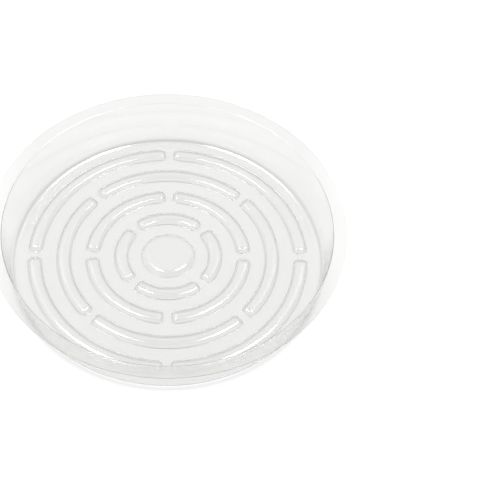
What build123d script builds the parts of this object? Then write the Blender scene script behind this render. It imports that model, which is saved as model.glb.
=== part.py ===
from build123d import *
import os
from math import asin, cos, degrees, radians, sin, tan

# Clear plastic plant saucer: a heated sheet drawn over a mould, with raised rib rings on its floor.
# Millimetres and degrees. +Z is up, and the origin is at the centre of the floor's underside.
# The sheet has one thickness throughout, so the ribs and the centre boss are hollow underneath.
# Each zone of the sheet is a solid of its own, and neighbouring zones meet face to face.

# Driving dimensions of the pan
rim_diameter = 254.0  # over the trimmed edge of the lip
saucer_height = 35.6  # underside of the floor to the top of the lip
lip_width = 9.6  # trimmed edge to the sharp corner of wall and lip, before it is rounded
sheet = 0.4  # thickness of the formed sheet
wall_draft = 8.5  # lean of the wall from upright
heel_radius = 5.0  # inside of the bend from floor to wall
lip_bend_radius = 0.7  # underside of the bend from wall to lip

# Driving dimensions of the raised ribs
rib_width = 11.0  # floor to floor across a rib
rib_height = 3.0  # crest above the floor's upper face
rib_crown_lean = 5.0  # slope of the gently arched back where its shoulders start
rib_shoulder_radius = 1.9  # bend from the back to a side
rib_side_slope = 73.0  # slope of a side
rib_foot_radius = 0.8  # bend from the floor up to a rib
rib_gap = 5.0  # floor left between the ends of two ribs in a ring
edge_channel = 6.1  # floor left between the outer ribs and the heel
ribs_per_ring = 4

# Driving dimensions of the centre boss
boss_top_radius = 15.1  # flat top
boss_height = 3.0  # top above the floor's upper face
boss_shoulder_radius = 4.2  # rounded edge of the top
boss_side_slope = 58.0  # slope of the side
boss_foot_radius = 1.0  # bend from the floor up to the boss
boss_channel = 8.7  # floor left round the boss, and the least left between two rings of ribs


def bend(centre_x, centre_z, inside_radius, start, turn):
    """Section of a bent stretch of sheet, from its centre, inside radius, start angle and turn."""
    inside = CenterArc((centre_x, centre_z), inside_radius, start, turn)
    outside = CenterArc((centre_x, centre_z), inside_radius + sheet, start, turn)
    ends = [Line(inside @ 0, outside @ 0), Line(inside @ 1, outside @ 1)]
    return make_face([inside, outside] + ends)


def flat(start_x, end_x, low_z):
    """Section of a level stretch of sheet."""
    return Pos(start_x, low_z) * Rectangle(end_x - start_x, sheet, align=(Align.MIN, Align.MIN))


def turned(section):
    """Ring of sheet with the given section."""
    return revolve(Plane.XZ * section, Axis.Z)


def raised_side(foot_x, foot_radius, flank, slope, shoulder_radius, shoulder_turn):
    """Section of a raised zone's side, from the floor at foot_x up: foot bend, flank and shoulder bend."""
    across, up = sin(radians(slope)), cos(radians(slope))
    foot_z = sheet + foot_radius
    low_x, low_z = foot_x - foot_radius * across, foot_z - foot_radius * up
    high_x, high_z = low_x - flank * up, low_z + flank * across
    upper_face = [(low_x, low_z), (high_x, high_z)]
    lower_face = [(high_x - sheet * across, high_z - sheet * up), (low_x - sheet * across, low_z - sheet * up)]
    side = make_face(Polyline(upper_face + lower_face, close=True))
    foot = bend(foot_x, foot_z, foot_radius, 270 - slope, slope)
    shoulder_x, shoulder_z = high_x - shoulder_radius * across, high_z - shoulder_radius * up
    shoulder = bend(shoulder_x, shoulder_z, shoulder_radius - sheet, 90 - slope, shoulder_turn)
    return foot + side + shoulder


# Profile of the pan: floor, heel bend, drafted wall, lip bend and lip
draft = radians(wall_draft)
bend_turn = 90 - wall_draft
rim_radius = rim_diameter / 2
heel_centre_z = sheet + heel_radius
wall_rise = saucer_height - heel_centre_z
floor_radius = rim_radius - lip_width - wall_rise * tan(draft) - heel_radius / cos(draft)
crown_of_lip = lip_bend_radius + sheet
lip_centre_x = rim_radius - lip_width + crown_of_lip * tan(radians(bend_turn / 2))
lip_centre_z = saucer_height - crown_of_lip

# Section of a rib: its arched back and straight flanks share the width and height that its bends leave
rib_half_width = rib_width / 2
rib_bends = rib_shoulder_radius + rib_foot_radius
rib_lean = radians(rib_crown_lean)
rib_slope = radians(rib_side_slope)
free_half_width = rib_half_width - rib_bends * sin(rib_slope)
free_height = rib_height - rib_bends * (1 - cos(rib_slope))
spread = sin(rib_lean) * sin(rib_slope) - (1 - cos(rib_lean)) * cos(rib_slope)
rib_flank = (free_height * sin(rib_lean) - free_half_width * (1 - cos(rib_lean))) / spread
rib_crown_radius = (
    rib_shoulder_radius + (free_half_width * sin(rib_slope) - free_height * cos(rib_slope)) / spread
)

# Section of the boss: a straight flank takes the height that its bends leave
boss_bends = boss_shoulder_radius + boss_foot_radius
boss_slope = radians(boss_side_slope)
boss_flank = (boss_height - boss_bends * (1 - cos(boss_slope))) / sin(boss_slope)
boss_radius = boss_top_radius + boss_bends * sin(boss_slope) + boss_flank * cos(boss_slope)

# Rings of ribs, as many as the channels leave room for, spaced evenly from boss to heel
inner_ring_radius = boss_radius + boss_channel + rib_half_width
outer_ring_radius = floor_radius - edge_channel - rib_half_width
ring_span = outer_ring_radius - inner_ring_radius
ring_steps = int(ring_span / (rib_width + boss_channel))
ring_pitch = ring_span / ring_steps
rib_step = 360 / ribs_per_ring


def heel_point(radius):
    """Point where the heel bend ends and the wall starts, on the face with the given radius."""
    return (floor_radius + radius * cos(draft), heel_centre_z - radius * sin(draft))


def lip_point(radius):
    """Point where the wall ends and the lip bend starts, on the face with the given radius."""
    return (lip_centre_x - radius * cos(draft), lip_centre_z + radius * sin(draft))


def rim_lip():
    """Level lip with a trimmed edge, and the tight bend that carries it on the wall."""
    lip_bend = bend(lip_centre_x, lip_centre_z, lip_bend_radius, 90, bend_turn)
    return turned(lip_bend + flat(lip_centre_x, rim_radius, saucer_height - sheet))


def side_wall():
    """Drafted wall between the heel bend and the lip bend."""
    inner_face = [heel_point(heel_radius), lip_point(crown_of_lip)]
    outer_face = [lip_point(lip_bend_radius), heel_point(heel_radius + sheet)]
    return turned(make_face(Polyline(inner_face + outer_face, close=True)))


def heel_bend():
    """Rounded corner that carries the wall on the floor."""
    return turned(bend(floor_radius, heel_centre_z, heel_radius, 270, bend_turn))


def centre_boss():
    """Flat round boss in the middle of the floor, hollow underneath."""
    side = raised_side(
        boss_radius, boss_foot_radius, boss_flank, boss_side_slope, boss_shoulder_radius, boss_side_slope
    )
    return turned(flat(0, boss_top_radius, boss_height) + side)


def rib_arc(ring_radius):
    """Angle from the middle of a gap to a rib's end centre, and the angle between its end centres."""
    end_angle = degrees(asin((rib_gap / 2 + rib_half_width) / ring_radius))
    return end_angle, rib_step - 2 * end_angle


def rib(ring_radius, gap_angle):
    """Hollow arched rib with round ends, starting at the gap that lies at gap_angle."""
    end_angle, span = rib_arc(ring_radius)
    shoulder_turn = rib_side_slope - rib_crown_lean
    side = raised_side(
        rib_half_width, rib_foot_radius, rib_flank, rib_side_slope, rib_shoulder_radius, shoulder_turn
    )
    crown_z = sheet + rib_height - rib_crown_radius
    crown = bend(0, crown_z, rib_crown_radius - sheet, 90 - rib_crown_lean, rib_crown_lean)
    half_section = crown + side
    section = half_section + mirror(half_section, Plane.YZ)
    run = revolve(Plane.XZ * (Pos(ring_radius, 0) * section), Axis.Z, span)
    end = revolve(Plane.XZ * half_section, Axis.Z, 180)
    near_end = Pos(ring_radius, 0, 0) * Rot(0, 0, 180) * end
    far_end = Rot(0, 0, span) * Pos(ring_radius, 0, 0) * end
    return Rot(0, 0, gap_angle + end_angle) * (run + near_end + far_end)


def rib_opening(ring_radius, gap_angle):
    """Outline of the opening that a rib leaves in the floor."""
    end_angle, span = rib_arc(ring_radius)
    centre_line = CenterArc((0, 0), ring_radius, gap_angle + end_angle, span)
    return SlotArc(centre_line, 2 * rib_half_width)


def floor_web(rib_places):
    """Flat floor between the raised zones."""
    outline = Circle(floor_radius) - Circle(boss_radius)
    openings = [rib_opening(*place) for place in rib_places]
    return extrude(outline - openings, sheet)


# Ring 1 is the innermost, and the gaps of each ring stand half a step round from those of the next
ribs = {}
for ring in range(ring_steps + 1):
    ring_radius = inner_ring_radius + ring * ring_pitch
    ring_turn = rib_step / 2 * ((ring_steps - ring) % 2)
    for position in range(ribs_per_ring):
        place = (ring_radius, ring_turn + position * rib_step)
        ribs[f"ring_{ring + 1}_rib_{position + 1}"] = place

nodes = {
    "rim_lip": rim_lip(),
    "side_wall": side_wall(),
    "heel_bend": heel_bend(),
    "floor_web": floor_web(ribs.values()),
    "centre_boss": centre_boss(),
}
for node_name, place in ribs.items():
    nodes[node_name] = rib(*place)

os.makedirs("parts", exist_ok=True)
for node_name, solid in nodes.items():
    export_step(solid, f"parts/{node_name}.step")
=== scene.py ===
import math

import bpy
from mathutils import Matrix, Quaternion, Vector
from mathutils.geometry import delaunay_2d_cdt


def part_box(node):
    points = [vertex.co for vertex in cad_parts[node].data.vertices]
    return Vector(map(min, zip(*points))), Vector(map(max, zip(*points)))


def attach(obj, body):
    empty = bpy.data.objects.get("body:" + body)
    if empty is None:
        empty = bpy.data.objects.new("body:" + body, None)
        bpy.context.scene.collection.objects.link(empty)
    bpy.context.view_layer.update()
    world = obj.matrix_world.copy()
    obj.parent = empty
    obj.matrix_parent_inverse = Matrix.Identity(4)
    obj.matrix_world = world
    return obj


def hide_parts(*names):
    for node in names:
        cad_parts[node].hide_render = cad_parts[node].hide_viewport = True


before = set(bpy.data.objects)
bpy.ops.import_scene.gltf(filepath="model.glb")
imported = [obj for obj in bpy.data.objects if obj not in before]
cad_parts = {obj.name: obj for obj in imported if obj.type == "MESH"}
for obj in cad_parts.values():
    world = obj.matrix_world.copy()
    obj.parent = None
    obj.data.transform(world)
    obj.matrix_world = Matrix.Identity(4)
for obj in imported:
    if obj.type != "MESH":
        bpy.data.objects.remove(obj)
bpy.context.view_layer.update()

# Rim lip
# The lip is the outermost of the one clear sheet that the saucer is drawn from, level all round.
# A ring die trims it, which leaves a square edge with its corners barely broken.
millimetre = 0.001
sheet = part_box("floor_web")[1].z
rim_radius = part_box("rim_lip")[1].x
rim_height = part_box("rim_lip")[1].z
lip_width = 9.6 * millimetre
lip_bend_radius = 1.1 * millimetre
wall_draft = math.radians(8.5)
edge_break = 0.1 * millimetre
lip_steps = 3
bend_steps = 8
edge_steps = 3
upright = math.radians(90.0)
wall_facing = math.radians(180.0) - wall_draft


def between(start, end, steps):
    """Evenly spaced values from start to end, both included."""
    return [start + (end - start) * step / steps for step in range(steps + 1)]


# A profile point is its radius, its height and the angle its upper face looks at, 90 degrees being up.
lip_bend_centre = (
    rim_radius - lip_width + lip_bend_radius * math.tan((wall_facing - upright) / 2),
    rim_height - lip_bend_radius,
)
lip_edge_radius = rim_radius - edge_break
pan_profile = [
    (radius, rim_height, upright)
    for radius in between(lip_edge_radius, lip_bend_centre[0], lip_steps)[:-1]
]
pan_profile += [
    (
        lip_bend_centre[0] + lip_bend_radius * math.cos(facing),
        lip_bend_centre[1] + lip_bend_radius * math.sin(facing),
        facing,
    )
    for facing in between(upright, wall_facing, bend_steps)
]
edge_profile = [
    (
        lip_edge_radius + edge_break * math.cos(facing),
        height + edge_break * math.sin(facing),
        facing,
    )
    for height, quarter in (
        (rim_height - edge_break, between(upright, 0.0, edge_steps)[1:]),
        (rim_height - sheet + edge_break, between(0.0, -upright, edge_steps)[:-1]),
    )
    for facing in quarter
]

# Side wall and heel bend
# The wall leans out so that saucers nest, and a generous bend carries it on the floor.
# Both are drawn in one pull, so the wall is straight and the bend runs into it without a line.
heel_radius = 5.0 * millimetre
heel_steps = 14
wall_steps = 5
floor_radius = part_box("floor_web")[1].x
heel_centre = (floor_radius, sheet + heel_radius)
heel_profile = [
    (
        heel_centre[0] - heel_radius * math.cos(facing),
        heel_centre[1] - heel_radius * math.sin(facing),
        facing,
    )
    for facing in between(wall_facing, upright, heel_steps)
]
wall_top, wall_foot = pan_profile[-1], heel_profile[0]
wall_radii = between(wall_top[0], wall_foot[0], wall_steps)[1:-1]
wall_heights = between(wall_top[1], wall_foot[1], wall_steps)[1:-1]
pan_profile += [
    (radius, height, wall_facing) for radius, height in zip(wall_radii, wall_heights)
]
pan_profile += heel_profile

# Points on the sheet's upper face, the way each looks, and the faces between them
upper_points = []
upper_facings = []
upper_faces = []


def mark(point, facing):
    """Adds a point of the upper face and returns its number."""
    upper_points.append(Vector(point))
    upper_facings.append(Vector(facing).normalized())
    return len(upper_points) - 1


def lay(*corners):
    """Adds a face between numbered points, turned to the side that its points look at."""
    ring = [corner for place, corner in enumerate(corners) if corner != corners[place - 1]]
    if len(ring) < 3:
        return
    first, second, last = (upper_points[corner] for corner in (ring[0], ring[1], ring[-1]))
    if (second - first).cross(last - first).dot(upper_facings[ring[0]]) < 0:
        ring.reverse()
    upper_faces.append(ring)


def join(loop, next_loop):
    """Lays a closed band of faces between two loops of as many points."""
    for place in range(len(loop)):
        lay(loop[place - 1], loop[place], next_loop[place], next_loop[place - 1])


def turned(profile, steps):
    """Loops of points round the saucer's axis, one for each profile point, joined by faces."""
    up = Vector((0, 0, 1))
    loops = []
    for radius, height, facing in profile:
        loop = []
        for step in range(steps):
            turn = 2 * math.pi * step / steps
            out = Vector((math.cos(turn), math.sin(turn), 0))
            look = out * math.cos(facing) + up * math.sin(facing)
            loop.append(mark(out * radius + up * height, look))
        loops.append(loop)
    for loop, next_loop in zip(loops, loops[1:]):
        join(loop, next_loop)
    return loops


pan_steps = 288
pan_loops = turned(pan_profile, pan_steps)
floor_borders = [pan_loops[-1]]

# Centre boss
# A low round boss stands in the middle of the floor, pushed up by the mould and hollow underneath.
# Its flat top carries the middle of the pot, and its shoulder is rounded more than its foot.
boss_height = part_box("centre_boss")[1].z - sheet
boss_shoulder_radius = 5.0 * millimetre
boss_side_slope = math.radians(62.0)
boss_foot_radius = 0.5 * millimetre
boss_steps = 96
shoulder_steps = 8
foot_steps = 4
boss_top_shares = (0.25, 0.55, 0.8)  # rings of points on the flat top


def raised_side(start, shoulder_radius, side_slope, foot_radius):
    """Side of a raised zone: reach, height and slope of its points, from the shoulder to the floor."""
    start_reach, start_height, start_slope = start
    centre_reach = start_reach - shoulder_radius * math.sin(start_slope)
    centre_height = start_height - shoulder_radius * math.cos(start_slope)
    side = [
        (
            centre_reach + shoulder_radius * math.sin(slope),
            centre_height + shoulder_radius * math.cos(slope),
            slope,
        )
        for slope in between(start_slope, side_slope, shoulder_steps)
    ]
    flank_reach, flank_top, _ = side[-1]
    flank_foot = sheet + foot_radius * (1 - math.cos(side_slope))
    flank_reach += (flank_top - flank_foot) / math.tan(side_slope)
    foot_reach = flank_reach + foot_radius * math.sin(side_slope)
    side += [
        (
            foot_reach - foot_radius * math.sin(slope),
            sheet + foot_radius * (1 - math.cos(slope)),
            slope,
        )
        for slope in between(side_slope, 0.0, foot_steps)
    ]
    return side


boss_start = (0.0, sheet + boss_height, 0.0)
boss_side = raised_side(boss_start, boss_shoulder_radius, boss_side_slope, boss_foot_radius)
boss_top_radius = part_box("centre_boss")[1].x - boss_side[-1][0]
boss_profile = [
    (boss_top_radius * share, sheet + boss_height, upright) for share in boss_top_shares
]
boss_profile += [
    (boss_top_radius + reach, height, upright - slope) for reach, height, slope in boss_side
]
boss_loops = turned(boss_profile, boss_steps)
boss_middle = mark((0, 0, sheet + boss_height), (0, 0, 1))
for place in range(boss_steps):
    lay(boss_middle, boss_loops[0][place - 1], boss_loops[0][place])
floor_borders.append(boss_loops[-1])

# Rib rings
# Four rings of raised arc ribs hold the pot's foot above the water that drains from it.
# Each rib is an inverted channel of the same sheet with a gently arched back, steep sides and blunt ends.
rib_crown_radius = 19.514 * millimetre
rib_crown_lean = math.radians(8.0)
rib_shoulder_radius = 2.5 * millimetre
rib_side_slope = math.radians(70.0)
rib_foot_radius = 0.5 * millimetre
rib_gap = 5.0 * millimetre
ribs_per_ring = 4
run_spacing = 2.0 * millimetre
crown_steps = 3
end_steps = 16
end_bluntness = 3.4  # 2 is a half circle in plan, and more is squarer

rib_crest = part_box("ring_1_rib_1")[1].z
rib_back = [
    (
        rib_crown_radius * math.sin(slope),
        rib_crest - rib_crown_radius * (1 - math.cos(slope)),
        slope,
    )
    for slope in between(0.0, rib_crown_lean, crown_steps)
]
rib_side = rib_back[:-1]
rib_side += raised_side(rib_back[-1], rib_shoulder_radius, rib_side_slope, rib_foot_radius)
rib_half_width = rib_side[-1][0]


def end_offsets(bluntness):
    """Unit outline of a rib's blunt end in plan, across and along the rib, with the way it looks."""
    outline = []
    for turn in between(0.0, math.pi, end_steps)[1:-1]:
        across, along = math.cos(turn), math.sin(turn)
        size = (abs(across) ** bluntness + along**bluntness) ** (1 / bluntness)
        across, along = across / size, along / size
        look_across = math.copysign(abs(across) ** (bluntness - 1), across)
        outline.append((across, along, look_across, along ** (bluntness - 1)))
    return outline


def around(ring_radius, turn, across, along, height):
    """Point or direction given across and along a rib at the angle turn of its ring."""
    out = Vector((math.cos(turn), math.sin(turn), 0))
    ahead = Vector((-math.sin(turn), math.cos(turn), 0))
    return out * (ring_radius + across) + ahead * along + Vector((0, 0, height))


def raise_rib(ring_radius, start, end):
    """Upper face of a rib whose end centres lie at the angles start and end; returns its outline."""
    steps = math.ceil(ring_radius * (end - start) / run_spacing)
    stations = between(start, end, steps)
    outline = [(turn, 1.0, 0.0, 1.0, 0.0) for turn in stations]
    outline += [(end, *offset) for offset in end_offsets(end_bluntness)]
    outline += [(turn, -1.0, 0.0, -1.0, 0.0) for turn in reversed(stations)]
    outline += [
        (start, -across, -along, -look_across, -look_along)
        for across, along, look_across, look_along in end_offsets(end_bluntness)
    ]
    crest = {
        turn: mark(around(ring_radius, turn, 0, 0, rib_side[0][1]), (0, 0, 1)) for turn in stations
    }
    loops = [[crest[turn] for turn, *_ in outline]]
    for reach, height, slope in rib_side[1:]:
        lean = math.tan(slope)
        loop = []
        for turn, across, along, look_across, look_along in outline:
            point = around(ring_radius, turn, across * reach, along * reach, height)
            look = around(0, turn, look_across * lean, look_along * lean, 1)
            loop.append(mark(point, look))
        loops.append(loop)
    for loop, next_loop in zip(loops, loops[1:]):
        join(loop, next_loop)
    return loops[-1]


rib_step = 2 * math.pi / ribs_per_ring
rib_nodes = sorted(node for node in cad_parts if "_rib_" in node)
ring_count = len(rib_nodes) // ribs_per_ring
# Every second ring has a rib centred on +Y, whose box gives the ring's reach; the others lie halfway.
inner_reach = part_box("ring_1_rib_1")[1].y
ring_pitch = (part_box("ring_3_rib_1")[1].y - inner_reach) / 2
for ring in range(ring_count):
    ring_radius = inner_reach - rib_half_width + ring * ring_pitch
    end_turn = math.asin((rib_gap / 2 + rib_half_width) / ring_radius)
    first_gap = rib_step / 2 * ((ring_count - 1 - ring) % 2)
    for rib in range(ribs_per_ring):
        gap = first_gap + rib * rib_step
        floor_borders.append(raise_rib(ring_radius, gap + end_turn, gap + rib_step - end_turn))

# Floor web
# What is left of the sheet between the raised zones lies flat on the table and holds the water.
# It is the least stretched part of the sheet, and meets every foot bend without a line.
border_points = [number for border in floor_borders for number in border]
border_outlines = []
first = 0
for border in floor_borders:
    border_outlines.append(list(range(first, first + len(border))))
    first += len(border)
inside_triangles = 1
weld_distance = 1e-8
_, _, triangles, origins, _, covers = delaunay_2d_cdt(
    [upper_points[number].to_2d() for number in border_points],
    [],
    border_outlines,
    inside_triangles,
    weld_distance,
)
for triangle, cover in zip(triangles, covers):
    if len(cover) == 1:  # inside the heel's circle alone, and under no raised zone
        lay(*(border_points[origins[corner][0]] for corner in triangle))

# One seamless sheet
# The zones above are one closed sheet of clear vinyl: its lower face follows the upper one at the
# sheet's thickness, and the die's cut joins the two at the lip.
lower_start = len(upper_points)
points = upper_points + [
    point - look * sheet for point, look in zip(upper_points, upper_facings)
]
facings = upper_facings + [-look for look in upper_facings]
faces = upper_faces + [
    [lower_start + corner for corner in reversed(face)] for face in upper_faces
]
edge_loops = [pan_loops[0]]
for radius, height, facing in edge_profile:
    edge_loops.append(list(range(len(points), len(points) + pan_steps)))
    for step in range(pan_steps):
        turn = 2 * math.pi * step / pan_steps
        points.append(around(radius, turn, 0, 0, height))
        facings.append(around(math.cos(facing), turn, 0, 0, math.sin(facing)))
edge_loops.append([lower_start + number for number in pan_loops[0]])
for loop, next_loop in zip(edge_loops, edge_loops[1:]):
    for place in range(pan_steps):
        faces.append([loop[place - 1], next_loop[place - 1], next_loop[place], loop[place]])

saucer_mesh = bpy.data.meshes.new("saucer_sheet")
saucer_mesh.from_pydata(points, [], faces)
saucer_mesh.polygons.foreach_set("use_smooth", [True] * len(faces))
saucer_mesh.normals_split_custom_set_from_vertices(facings)
saucer = bpy.data.objects.new("saucer_sheet", saucer_mesh)
bpy.context.scene.collection.objects.link(saucer)
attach(saucer, "root")
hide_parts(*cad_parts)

# The vinyl is colourless and glossy, a little uneven from drawing, with a faint haze of handling.
# Low steep stretches hold back light from above and leave dark lines on the table, and the raised
# zones dim it a little. What the high wall turns aside lands close by, so it counts as passed.
clear_vinyl = bpy.data.materials.new("clear_vinyl")
clear_vinyl.use_nodes = True
nodes, links = clear_vinyl.node_tree.nodes, clear_vinyl.node_tree.links
nodes.clear()
sheet_place = nodes.new("ShaderNodeTexCoord")
drawn_waves = nodes.new("ShaderNodeTexNoise")
drawn_waves.inputs["Scale"].default_value = 30.0
drawn_waves.inputs["Detail"].default_value = 2.0
wave_bump = nodes.new("ShaderNodeBump")
wave_bump.inputs["Strength"].default_value = 0.06
wave_bump.inputs["Distance"].default_value = 0.1 * millimetre
handling_marks = nodes.new("ShaderNodeTexNoise")
handling_marks.inputs["Scale"].default_value = 260.0
handling_marks.inputs["Detail"].default_value = 6.0
handling_marks.inputs["Roughness"].default_value = 0.65
haze = nodes.new("ShaderNodeMapRange")
haze.inputs["From Min"].default_value = 0.35
haze.inputs["From Max"].default_value = 0.75
haze.inputs["To Min"].default_value = 0.06
haze.inputs["To Max"].default_value = 0.1
plastic = nodes.new("ShaderNodeBsdfPrincipled")
plastic.inputs["Base Color"].default_value = (0.98, 0.98, 0.97, 1.0)
plastic.inputs["IOR"].default_value = 1.53
plastic.inputs["Transmission Weight"].default_value = 1.0
light_path = nodes.new("ShaderNodeLightPath")
surface = nodes.new("ShaderNodeNewGeometry")
surface_look = nodes.new("ShaderNodeSeparateXYZ")
levelness = nodes.new("ShaderNodeMath")
levelness.operation = "ABSOLUTE"
steepness = nodes.new("ShaderNodeMath")
steepness.operation = "MULTIPLY_ADD"
steepness.inputs[1].default_value = -0.8
steepness.inputs[2].default_value = 0.8
steep_only = nodes.new("ShaderNodeMapRange")
steep_only.inputs["From Min"].default_value = 0.1
steep_only.inputs["From Max"].default_value = 0.35
slant = nodes.new("ShaderNodeLayerWeight")
slant.inputs["Blend"].default_value = 0.5
steep_slant = nodes.new("ShaderNodeMath")
steep_slant.operation = "MULTIPLY"
held_back = nodes.new("ShaderNodeMath")
held_back.operation = "MAXIMUM"
grazing = nodes.new("ShaderNodeMath")
grazing.operation = "POWER"
sheet_height = nodes.new("ShaderNodeSeparateXYZ")
falloff = nodes.new("ShaderNodeMapRange")
falloff.inputs["From Min"].default_value = 3.5 * millimetre
falloff.inputs["From Max"].default_value = 7.0 * millimetre
falloff.inputs["To Min"].default_value = 2.5
falloff.inputs["To Max"].default_value = 28.0
raised = nodes.new("ShaderNodeMapRange")
raised.inputs["From Min"].default_value = 0.8 * millimetre
raised.inputs["From Max"].default_value = 2.2 * millimetre
raised.inputs["To Max"].default_value = 0.012
low_down = nodes.new("ShaderNodeMapRange")
low_down.inputs["From Min"].default_value = 6.0 * millimetre
low_down.inputs["From Max"].default_value = 4.0 * millimetre
under_raised = nodes.new("ShaderNodeMath")
under_raised.operation = "MULTIPLY"
level_pass = nodes.new("ShaderNodeMath")
level_pass.operation = "SUBTRACT"
level_pass.inputs[0].default_value = 0.975
passed = nodes.new("ShaderNodeMapRange")
passed.inputs["To Max"].default_value = 0.0
lamp_light = nodes.new("ShaderNodeBsdfTransparent")
under_lamps = nodes.new("ShaderNodeMixShader")
under_room = nodes.new("ShaderNodeMixShader")
output = nodes.new("ShaderNodeOutputMaterial")
links.new(sheet_place.outputs["Object"], drawn_waves.inputs["Vector"])
links.new(sheet_place.outputs["Object"], handling_marks.inputs["Vector"])
links.new(drawn_waves.outputs["Fac"], wave_bump.inputs["Height"])
links.new(wave_bump.outputs["Normal"], plastic.inputs["Normal"])
links.new(handling_marks.outputs["Fac"], haze.inputs["Value"])
links.new(haze.outputs["Result"], plastic.inputs["Roughness"])
links.new(sheet_place.outputs["Object"], sheet_height.inputs["Vector"])
links.new(sheet_height.outputs["Z"], falloff.inputs["Value"])
links.new(surface.outputs["Normal"], surface_look.inputs["Vector"])
links.new(surface_look.outputs["Z"], levelness.inputs[0])
links.new(levelness.outputs["Value"], steepness.inputs[0])
links.new(steepness.outputs["Value"], steep_only.inputs["Value"])
links.new(slant.outputs["Facing"], steep_slant.inputs[0])
links.new(steep_only.outputs["Result"], steep_slant.inputs[1])
links.new(steepness.outputs["Value"], held_back.inputs[0])
links.new(steep_slant.outputs["Value"], held_back.inputs[1])
links.new(held_back.outputs["Value"], grazing.inputs[0])
links.new(falloff.outputs["Result"], grazing.inputs[1])
links.new(sheet_height.outputs["Z"], raised.inputs["Value"])
links.new(sheet_height.outputs["Z"], low_down.inputs["Value"])
links.new(raised.outputs["Result"], under_raised.inputs[0])
links.new(low_down.outputs["Result"], under_raised.inputs[1])
links.new(under_raised.outputs["Value"], level_pass.inputs[1])
links.new(level_pass.outputs["Value"], passed.inputs["To Min"])
links.new(grazing.outputs["Value"], passed.inputs["Value"])
links.new(passed.outputs["Result"], lamp_light.inputs["Color"])
links.new(light_path.outputs["Is Shadow Ray"], under_lamps.inputs["Fac"])
links.new(plastic.outputs["BSDF"], under_lamps.inputs[1])
links.new(lamp_light.outputs["BSDF"], under_lamps.inputs[2])
links.new(light_path.outputs["Is Diffuse Ray"], under_room.inputs["Fac"])
links.new(under_lamps.outputs["Shader"], under_room.inputs[1])
links.new(lamp_light.outputs["BSDF"], under_room.inputs[2])
links.new(under_room.outputs["Shader"], output.inputs["Surface"])
saucer_mesh.materials.append(clear_vinyl)

# Table
# A broad sheet of matt white card under the saucer takes its shadow and shows as white where bare,
# also far from the lamps. Its left and right glow a little brighter, a painted light in place of side
# bounce.
table_half = 6.0
table_drop = 0.3 * millimetre
table_mesh = bpy.data.meshes.new("white_table")
table_mesh.from_pydata(
    [
        (x * table_half, y * table_half, -table_drop)
        for x, y in ((-1, -1), (1, -1), (1, 1), (-1, 1))
    ],
    [],
    [(0, 1, 2, 3)],
)
table = bpy.data.objects.new("white_table", table_mesh)
bpy.context.scene.collection.objects.link(table)
white_card = bpy.data.materials.new("white_card")
white_card.use_nodes = True
nodes, links = white_card.node_tree.nodes, white_card.node_tree.links
nodes.clear()
card = nodes.new("ShaderNodeBsdfDiffuse")
card.inputs["Color"].default_value = (0.9, 0.9, 0.9, 1.0)
light_path = nodes.new("ShaderNodeLightPath")
seen_or_mirrored = nodes.new("ShaderNodeMath")
seen_or_mirrored.operation = "MAXIMUM"
seen_clear = nodes.new("ShaderNodeMath")
seen_clear.operation = "MAXIMUM"
lift = nodes.new("ShaderNodeMath")
lift.operation = "MULTIPLY"
bare_lift = nodes.new("ShaderNodeMath")
bare_lift.operation = "MULTIPLY_ADD"
bare_lift.inputs[1].default_value = 0.13
card_place = nodes.new("ShaderNodeTexCoord")
distance = nodes.new("ShaderNodeVectorMath")
distance.operation = "LENGTH"
far_lift = nodes.new("ShaderNodeMapRange")
far_lift.inputs["From Min"].default_value = 0.4
far_lift.inputs["From Max"].default_value = 3.0
far_lift.inputs["To Min"].default_value = 0.03
far_lift.inputs["To Max"].default_value = 0.62
card_sides = nodes.new("ShaderNodeSeparateXYZ")
sideways = nodes.new("ShaderNodeMath")
sideways.operation = "ABSOLUTE"
# Painted light: beyond 0.1 m to the left and right the table glows up to 0.07 brighter, seen directly, in
# and through the plastic.
painted_side_glow = nodes.new("ShaderNodeMapRange")
painted_side_glow.inputs["From Min"].default_value = 0.1
painted_side_glow.inputs["From Max"].default_value = 0.125
painted_side_glow.inputs["To Max"].default_value = 0.07
whole_lift = nodes.new("ShaderNodeMath")
whole_lift.operation = "ADD"
glow = nodes.new("ShaderNodeEmission")
together = nodes.new("ShaderNodeAddShader")
output = nodes.new("ShaderNodeOutputMaterial")
links.new(light_path.outputs["Is Camera Ray"], seen_or_mirrored.inputs[0])
links.new(light_path.outputs["Is Glossy Ray"], seen_or_mirrored.inputs[1])
links.new(seen_or_mirrored.outputs["Value"], seen_clear.inputs[0])
links.new(light_path.outputs["Is Transmission Ray"], seen_clear.inputs[1])
links.new(card_place.outputs["Object"], distance.inputs[0])
links.new(distance.outputs["Value"], far_lift.inputs["Value"])
links.new(seen_clear.outputs["Value"], lift.inputs[0])
links.new(card_place.outputs["Object"], card_sides.inputs["Vector"])
links.new(card_sides.outputs["X"], sideways.inputs[0])
links.new(sideways.outputs["Value"], painted_side_glow.inputs["Value"])
links.new(far_lift.outputs["Result"], whole_lift.inputs[0])
links.new(painted_side_glow.outputs["Result"], whole_lift.inputs[1])
links.new(whole_lift.outputs["Value"], lift.inputs[1])
links.new(light_path.outputs["Is Camera Ray"], bare_lift.inputs[0])
links.new(lift.outputs["Value"], bare_lift.inputs[2])
links.new(bare_lift.outputs["Value"], glow.inputs["Strength"])
links.new(card.outputs["BSDF"], together.inputs[0])
links.new(glow.outputs["Emission"], together.inputs[1])
links.new(together.outputs["Shader"], output.inputs["Surface"])
table_mesh.materials.append(white_card)

# Studio light
# Two soft boxes hang side by side over the back of the table, with a gap between them that shows
# in the plastic. The room has a bright back wall, pale low walls, a lit left side and a dim ceiling.
box_height = 3.0
box_offset = 0.755
box_setback = 0.62
box_width = 0.66
box_length = 1.45
box_power = 42.5
for side in (-1, 1):
    lamp = bpy.data.lights.new("soft_box", "AREA")
    lamp.shape = "RECTANGLE"
    lamp.size = box_width
    lamp.size_y = box_length
    lamp.energy = box_power
    soft_box = bpy.data.objects.new("soft_box", lamp)
    soft_box.location = (side * box_offset, box_setback, box_height)
    bpy.context.scene.collection.objects.link(soft_box)

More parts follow.
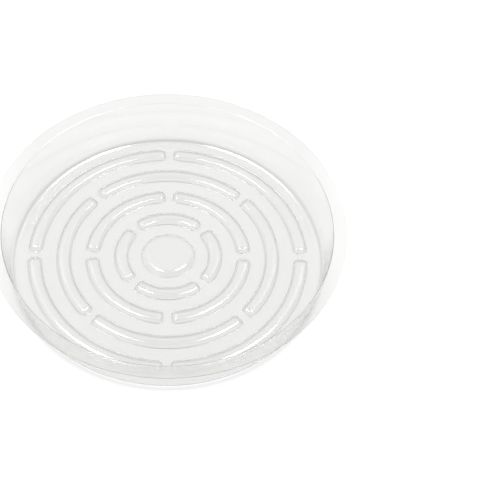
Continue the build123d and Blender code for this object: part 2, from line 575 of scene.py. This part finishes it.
room = bpy.data.worlds.new("white_room")
room.use_nodes = True
bpy.context.scene.world = room
nodes, links = room.node_tree.nodes, room.node_tree.links
nodes.clear()
direction = nodes.new("ShaderNodeTexCoord")
sides = nodes.new("ShaderNodeSeparateXYZ")
back_wall = nodes.new("ShaderNodeMapRange")
back_wall.inputs["From Min"].default_value = 0.42
back_wall.inputs["From Max"].default_value = 0.56
back_wall.inputs["To Min"].default_value = 0.0
back_wall.inputs["To Max"].default_value = 0.72
left_wall = nodes.new("ShaderNodeMapRange")
left_wall.inputs["From Min"].default_value = -0.2
left_wall.inputs["From Max"].default_value = -0.8
left_wall.inputs["To Min"].default_value = 0.1
left_wall.inputs["To Max"].default_value = 0.56
low_walls = nodes.new("ShaderNodeMapRange")
low_walls.inputs["From Min"].default_value = 0.35
low_walls.inputs["From Max"].default_value = 0.05
low_walls.inputs["To Min"].default_value = 0.0
low_walls.inputs["To Max"].default_value = 0.6
walls = nodes.new("ShaderNodeMath")
walls.operation = "MAXIMUM"
all_walls = nodes.new("ShaderNodeMath")
all_walls.operation = "MAXIMUM"
light_path = nodes.new("ShaderNodeLightPath")
mirrored = nodes.new("ShaderNodeBackground")
mirrored.inputs["Color"].default_value = (1.0, 1.0, 1.0, 1.0)
filling = nodes.new("ShaderNodeBackground")
filling.inputs["Color"].default_value = (1.0, 1.0, 1.0, 1.0)
filling.inputs["Strength"].default_value = 0.264
behind = nodes.new("ShaderNodeBackground")
behind.inputs["Color"].default_value = (1.0, 1.0, 1.0, 1.0)
behind.inputs["Strength"].default_value = 1.0
horizon = nodes.new("ShaderNodeMapRange")
horizon.inputs["From Min"].default_value = 0.1
horizon.inputs["From Max"].default_value = 0.3
horizon.inputs["To Min"].default_value = 1.0
horizon.inputs["To Max"].default_value = 0.0
seen_through = nodes.new("ShaderNodeMath")
seen_through.operation = "MULTIPLY"
shown_white = nodes.new("ShaderNodeMath")
shown_white.operation = "MAXIMUM"
turned_aside = nodes.new("ShaderNodeMath")
turned_aside.operation = "MAXIMUM"
lit_or_mirrored = nodes.new("ShaderNodeMixShader")
all_rays = nodes.new("ShaderNodeMixShader")
output = nodes.new("ShaderNodeOutputWorld")
links.new(direction.outputs["Generated"], sides.inputs["Vector"])
links.new(sides.outputs["Y"], back_wall.inputs["Value"])
links.new(sides.outputs["X"], left_wall.inputs["Value"])
links.new(back_wall.outputs["Result"], walls.inputs[0])
links.new(left_wall.outputs["Result"], walls.inputs[1])
links.new(sides.outputs["Z"], low_walls.inputs["Value"])
links.new(walls.outputs["Value"], all_walls.inputs[0])
links.new(low_walls.outputs["Result"], all_walls.inputs[1])
links.new(all_walls.outputs["Value"], mirrored.inputs["Strength"])
links.new(light_path.outputs["Is Glossy Ray"], turned_aside.inputs[0])
links.new(light_path.outputs["Is Transmission Ray"], turned_aside.inputs[1])
links.new(turned_aside.outputs["Value"], lit_or_mirrored.inputs["Fac"])
links.new(filling.outputs["Background"], lit_or_mirrored.inputs[1])
links.new(mirrored.outputs["Background"], lit_or_mirrored.inputs[2])
links.new(sides.outputs["Z"], horizon.inputs["Value"])
links.new(light_path.outputs["Is Transmission Ray"], seen_through.inputs[0])
links.new(horizon.outputs["Result"], seen_through.inputs[1])
links.new(light_path.outputs["Is Camera Ray"], shown_white.inputs[0])
links.new(seen_through.outputs["Value"], shown_white.inputs[1])
links.new(shown_white.outputs["Value"], all_rays.inputs["Fac"])
links.new(lit_or_mirrored.outputs["Shader"], all_rays.inputs[1])
links.new(behind.outputs["Background"], all_rays.inputs[2])
links.new(all_rays.outputs["Shader"], output.inputs["Surface"])
bpy.context.scene.view_settings.view_transform = "Standard"

# Camera
# It stands in front and looks down at about 53 degrees, aimed past the saucer's right side,
# so that the saucer lies left of the middle of the picture.
camera_data = bpy.data.cameras.new("camera")
camera_data.sensor_width = 36.0
camera_data.lens = 109.85
camera = bpy.data.objects.new("camera", camera_data)
camera.location = Vector((6.20, -640.64, 851.81)) * millimetre
camera_aim = Vector((52.45, 14.89, sheet / millimetre)) * millimetre
camera_roll = math.radians(3.785)
level_view = (camera_aim - camera.location).to_track_quat("-Z", "Y")
camera.rotation_mode = "QUATERNION"
camera.rotation_quaternion = level_view @ Quaternion((0, 0, 1), camera_roll)
bpy.context.scene.collection.objects.link(camera)
bpy.context.scene.camera = camera
